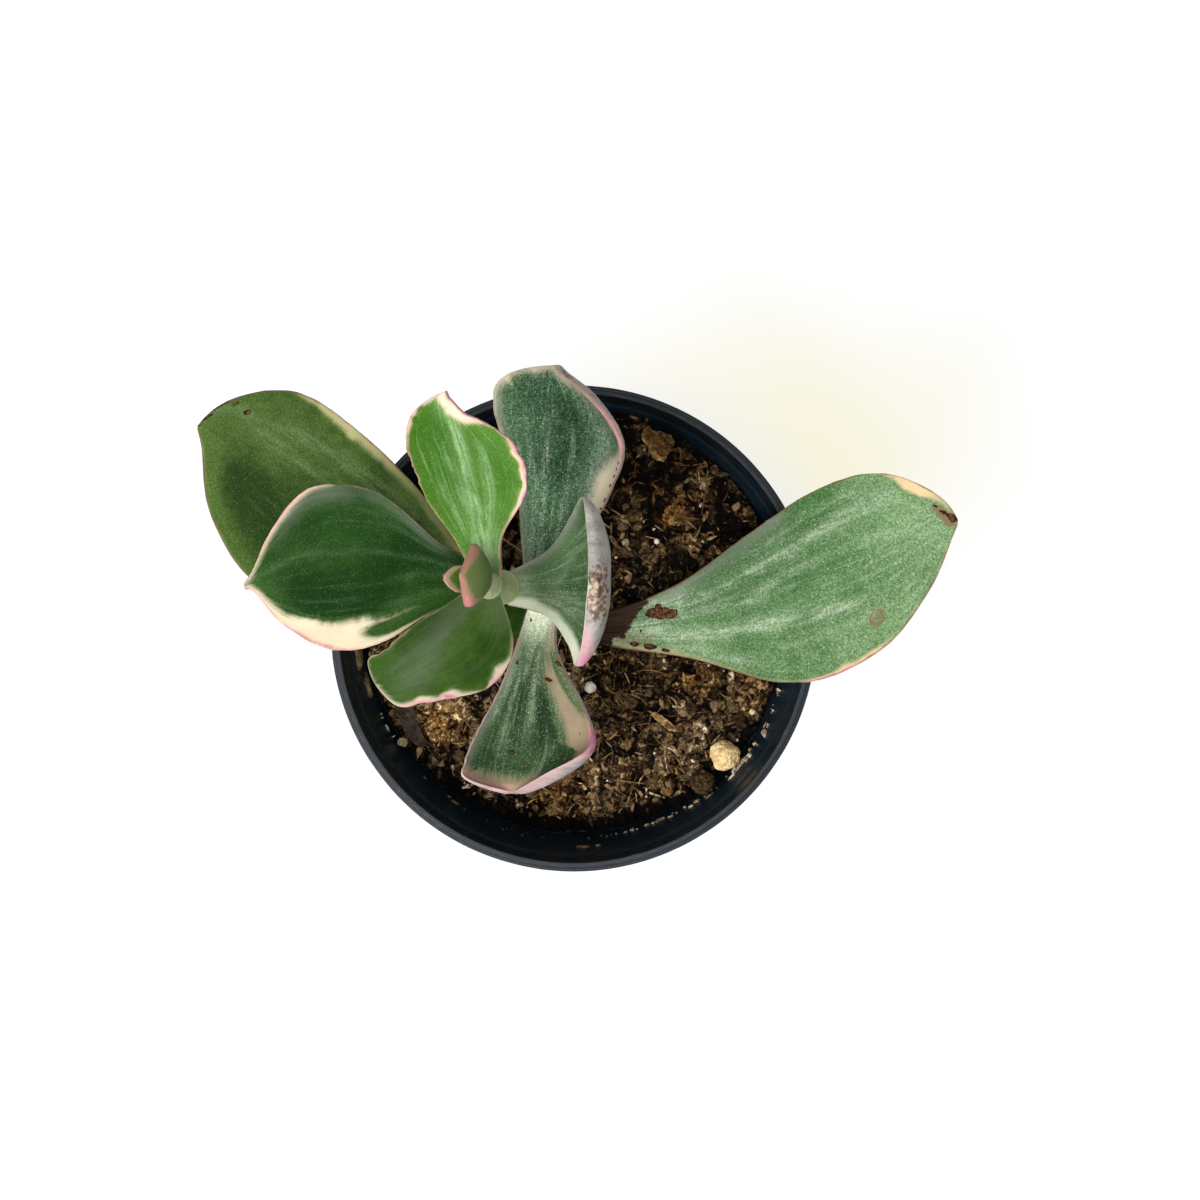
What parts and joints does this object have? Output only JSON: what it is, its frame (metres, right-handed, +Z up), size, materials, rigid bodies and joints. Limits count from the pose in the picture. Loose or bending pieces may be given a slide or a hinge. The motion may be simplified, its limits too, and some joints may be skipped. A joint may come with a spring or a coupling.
{
  "type": "potted jade plant",
  "caption": "Young variegated jade plant with thick paired succulent leaves, rooted in potting mix in a round tapered nursery pot that stands on a flat base.",
  "frame": {"origin": "centre of the pot's base, on the surface the pot stands on", "axes": "+Z up; +X and +Y lie on the table, with the largest lower leaf reaching out towards +X and the longest bare side of the rim facing -Y"},
  "size_m": [0.1299, 0.089, 0.1316],
  "materials": {
    "pot": "black moulded plastic, slightly satin",
    "soil": "loose peat and bark potting mix, rough",
    "stem": "pale green succulent stem, satin",
    "leaf_dark": "dark green variegated succulent leaf, satin",
    "leaf_mid": "mid green succulent leaf, satin",
    "leaf_bluish": "blue-green variegated succulent leaf, satin",
    "leaf_bright": "bright green variegated succulent leaf, satin",
    "bud": "pink and olive young leaf, satin",
    "perlite": "white expanded perlite, rough",
    "perlite_cream": "cream perlite stained by the mix, rough",
    "bark": "brown composted bark, rough",
    "bark_dark": "dark brown composted bark, rough",
    "bark_ochre": "ochre composted bark, rough",
    "papery": "grey-brown papery bark, dull"
  },
  "bodies": {
    "root": {"pot": "pot", "soil": "soil", "stem": "stem", "leaf_lower_left": "leaf_dark", "leaf_lower_right": "leaf_mid", "leaf_back": "leaf_bluish", "leaf_front": "leaf_bluish", "leaf_left": "leaf_dark", "leaf_right_cupped": "leaf_bluish", "leaf_upper_back": "leaf_bright", "leaf_upper_front": "leaf_mid", "bud_leaf_left": "bud", "bud_leaf_right": "bud", "perlite_large": "perlite_cream", "bark_nugget": "bark_dark", "perlite_centre": "perlite", "perlite_right": "perlite", "perlite_wall": "perlite_cream", "perlite_back": "perlite", "grit_back": "bark_ochre", "bark_chip_back": "bark", "bark_clump_right": "bark_ochre", "bark_clump_left": "bark_ochre", "bark_chip_front": "bark", "bark_strip": "papery"}
  },
  "joints": []
}
